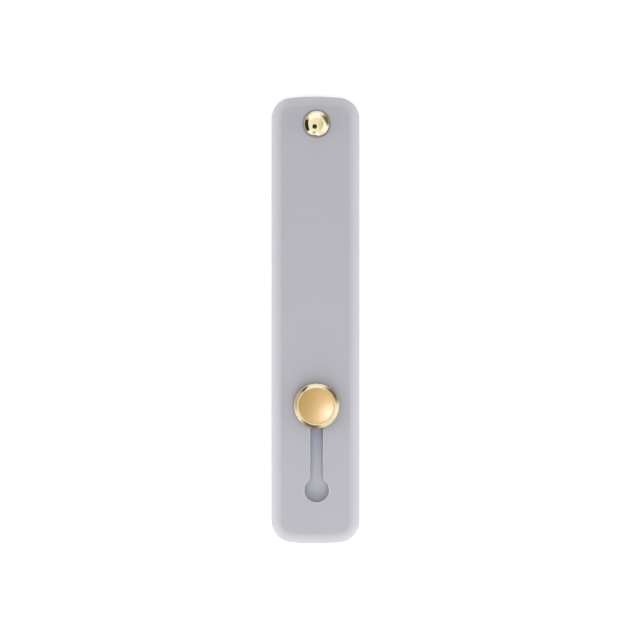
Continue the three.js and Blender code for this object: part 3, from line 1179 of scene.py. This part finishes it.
PAPER = {"Scale": 1800.0, "Height": 0.00001, "Low": 0.35, "High": 0.45}
FOAM = {"Scale": 2500.0, "Height": 0.00008, "Low": 0.8, "High": 0.95}
GROUND = {"Scale": 300.0, "Height": 0.00001, "Low": 0.7, "High": 0.8}
foam_tape = make_plain("foam_tape", (0.64, 0.63, 0.6, 1), (0.52, 0.51, 0.485, 1), 900.0, **FOAM)
liner_paper = make_plain("liner_paper", (0.74, 0.71, 0.62, 1), (0.70, 0.67, 0.58, 1), 120.0, **PAPER)
floor_white = make_plain("floor_white", (0.9, 0.9, 0.9, 1), (0.89, 0.89, 0.89, 1), 3.0, **GROUND)
fade_glow(floor_white, (1, 1, 0), 0.12, 0.8, (0.32, 0.32, 0.32, 1), (0.75, 0.75, 0.75, 1))

# %% [markdown]
# Each piece gets its finish. The button has two: its flat front faces inside the step are satin, all
# the rest is polished. The two posts are used as they were packed.

# %% Dress every piece
def dress(piece, *materials):
    piece.data.materials.clear()
    for material in materials:
        piece.data.materials.append(material)


dress(band, band_silicone)
dress(base, base_silicone)
dress(tape, foam_tape)
dress(liner, liner_paper)
dress(rivet, polished_gold)
dress(button, rim_gold, satin_gold)
dress(floor, floor_white)
for face in button.data.polygons:
    reach = math.hypot(face.center.x - LINE_X, face.center.y - BUTTON_Y)
    if face.normal.z > 0.5 and reach < face_radius - STEP_WIDTH:
        face.material_index = 1
for name in ("rivet_post", "button_post"):
    dress(frame["nodes"][name], post_metal)

# %% [markdown]
# ## Tie the fixed pieces to their body
# The base, the metal and the tape ride on the fixed body. The band crosses the slide joint: it is tied
# to no body, and only its bow follows the sliding body.

# %% Ride and replace
RIDERS = [
    (base, "base_strip", "back_silicone"),
    (tape, "adhesive_pad", "foam_tape"),
    (liner, "release_liner", "liner_film"),
    (rivet, "rivet_cap", "polished_gold"),
    (button, "button_cap", "satin_gold"),
]
for piece, node, slot in RIDERS:
    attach(piece, "base")
    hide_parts(node)
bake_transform(band)
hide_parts("strap")

# %% [markdown]
# The bow itself is a small Geometry Nodes modifier. It reads how far the sliding body has moved, as a
# share of the full travel, and adds the stored bow: the move along the strap in step with that share,
# the rise with its square root, because a flat band rises fast at first.

# %% Bow the band as its lower end slides
def make_bow_modifier(piece, body, travel):
    group = bpy.data.node_groups.new("bow_with_slide", "GeometryNodeTree")
    group.interface.new_socket("Geometry", in_out="INPUT", socket_type="NodeSocketGeometry")
    group.interface.new_socket("Geometry", in_out="OUTPUT", socket_type="NodeSocketGeometry")
    nodes, links = group.nodes, group.links
    source = nodes.new("NodeGroupInput")
    result = nodes.new("NodeGroupOutput")
    slider = nodes.new("GeometryNodeObjectInfo")
    slider.inputs["Object"].default_value = body
    split = nodes.new("ShaderNodeSeparateXYZ")
    links.new(slider.outputs["Location"], split.inputs["Vector"])
    share = nodes.new("ShaderNodeMath")
    share.operation = "DIVIDE"
    share.inputs[1].default_value = travel
    links.new(split.outputs["Y"], share.inputs[0])
    root = nodes.new("ShaderNodeMath")
    root.operation = "POWER"
    root.inputs[1].default_value = 0.5
    links.new(share.outputs["Value"], root.inputs[0])
    scale = nodes.new("ShaderNodeCombineXYZ")
    links.new(share.outputs["Value"], scale.inputs["Y"])
    links.new(root.outputs["Value"], scale.inputs["Z"])
    stored = nodes.new("GeometryNodeInputNamedAttribute")
    stored.data_type = "FLOAT_VECTOR"
    stored.inputs["Name"].default_value = "bow"
    shift = nodes.new("ShaderNodeVectorMath")
    shift.operation = "MULTIPLY"
    links.new(stored.outputs["Attribute"], shift.inputs[0])
    links.new(scale.outputs["Vector"], shift.inputs[1])
    move = nodes.new("GeometryNodeSetPosition")
    links.new(source.outputs["Geometry"], move.inputs["Geometry"])
    links.new(shift.outputs["Vector"], move.inputs["Offset"])
    links.new(move.outputs["Geometry"], result.inputs["Geometry"])
    piece.modifiers.new("bow", "NODES").node_group = group


make_bow_modifier(band, frame["bodies"]["band"], TRAVEL)
